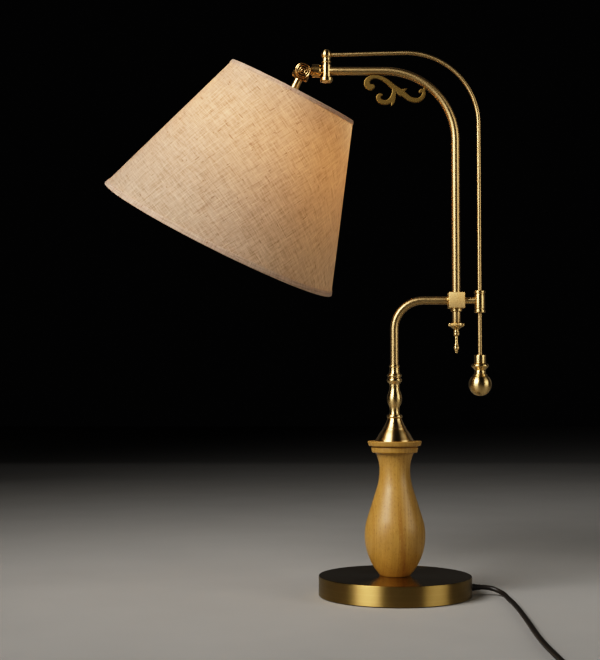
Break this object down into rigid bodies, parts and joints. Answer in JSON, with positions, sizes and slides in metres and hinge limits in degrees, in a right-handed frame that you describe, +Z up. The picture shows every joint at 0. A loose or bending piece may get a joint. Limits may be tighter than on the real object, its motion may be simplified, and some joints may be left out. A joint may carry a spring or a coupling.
{
  "type": "swing arm table lamp",
  "caption": "Table lamp with a turned wooden body on a weighted round base, a swinging and sliding counterweighted brass arm, and a tilting cone shade.",
  "frame": {"origin": "centre of the base on the surface it stands on", "axes": "+Z up; +X from the column towards the sliding tube and the counterweight, -X towards the shade, -Y the front"},
  "size_m": [0.4781, 0.778, 0.6505],
  "materials": {
    "polished_brass": "polished, lacquered, with fine turning marks",
    "boom_brass": "polished tube, drawn lengthwise",
    "cast_brass": "cast and hand polished",
    "bush_steel": "turned",
    "zinc_steel": "zinc plated",
    "magnet": "sintered ring, nickel plated",
    "iron": "as cast",
    "plate": "black",
    "felt": "green-black felt",
    "oak": "turned hardwood, honey stain, satin lacquer",
    "relief": "black, ribbed",
    "nylon": "moulded",
    "cord_sheath": "dark brown vinyl sheath",
    "wire_sheath": "thin sheath",
    "case": "dark brown moulding",
    "rocker_cap": "dark moulding",
    "holder": "white phenolic",
    "cap": "rolled thread",
    "bulb": "opal",
    "frame_white": "white enamel",
    "linen": "natural linen with slubs",
    "lining": "off-white laminate",
    "hem": "turned linen hem",
    "blade": "stamped"
  },
  "bodies": {
    "stand": {"base_cover": "polished_brass", "base_weight": "iron", "bottom_plate": "plate", "felt_pad": "felt", "plate_screws": "zinc_steel", "base_nut": "zinc_steel", "base_washer": "zinc_steel", "threaded_rod": "zinc_steel", "wood_body": "oak", "bell_cap": "polished_brass", "bell_ring": "polished_brass", "baluster": "polished_brass", "cord_grommet": "relief", "cord_clamp": "nylon", "stem_wire": "wire_sheath", "power_cord": "cord_sheath", "cord_tail": "cord_sheath", "cord_end": "cord_sheath", "cord_coil": "cord_sheath", "switch_lower_shell": "case", "switch_upper_shell": "case", "switch_screws": "zinc_steel", "rocker_pin": "zinc_steel", "plug_body": "case", "plug_pins": "blade"},
    "switch_rocker": {"switch_rocker": "rocker_cap"},
    "swing_arm": {"swivel_washer": "polished_brass", "swivel_collar": "polished_brass", "swivel_pin": "zinc_steel", "snap_ring": "zinc_steel", "elbow_tube": "boom_brass", "inlet_ferrule": "polished_brass", "arm_block": "polished_brass", "block_bush": "polished_brass", "guide_stub": "polished_brass", "guide_sleeve": "polished_brass", "guide_magnet": "magnet"},
    "lift_arm": {"main_tube": "boom_brass", "balance_rod": "boom_brass", "scroll_ornament": "cast_brass", "front_post": "polished_brass", "post_foot": "polished_brass", "knurled_ring": "polished_brass", "finial": "polished_brass", "weight_collar": "polished_brass", "counterweight": "polished_brass"},
    "head_yoke": {"head_stub": "polished_brass", "hinge_nut": "polished_brass"},
    "lamp_head": {"knuckle_body": "cast_brass", "head_stem": "polished_brass", "lamp_holder": "holder", "shade_nut": "holder", "bulb_cap": "cap", "bulb_glass": "bulb", "shade_cover": "linen", "shade_lining": "lining", "shade_hems": "hem", "shade_bottom_ring": "frame_white", "shade_carrier": "frame_white"},
    "tilt_knob": {"tilt_knob": "polished_brass"}
  },
  "joints": [
    {"name": "swing", "type": "hinge", "parent": "stand", "child": "swing_arm", "pos_m": [0, 0, 0.25], "axis": [0, 0, 1], "range_deg": [-165, 165]},
    {"name": "lift", "type": "slide", "parent": "swing_arm", "child": "lift_arm", "axis": [0, 0, 1], "range_m": [-0.165, 0.013]},
    {"name": "head_roll", "type": "hinge", "parent": "lift_arm", "child": "head_yoke", "pos_m": [-0.0804, 0, 0.6244], "axis": [1, 0, 0], "range_deg": [-40, 20]},
    {"name": "head_tilt", "type": "hinge", "parent": "head_yoke", "child": "lamp_head", "pos_m": [-0.1087, 0, 0.6244], "axis": [0, 0.9832, 0.1828], "range_deg": [-8, 45]},
    {"name": "knob_turn", "type": "hinge", "parent": "head_yoke", "child": "tilt_knob", "pos_m": [-0.1087, 0, 0.6244], "axis": [0, -0.9832, -0.1828], "range_deg": [-180, 180]},
    {"name": "rocker", "type": "hinge", "parent": "stand", "child": "switch_rocker", "pos_m": [0.117, -0.52, 0.0136], "axis": [1, 0, 0], "range_deg": [-16, 0]}
  ]
}
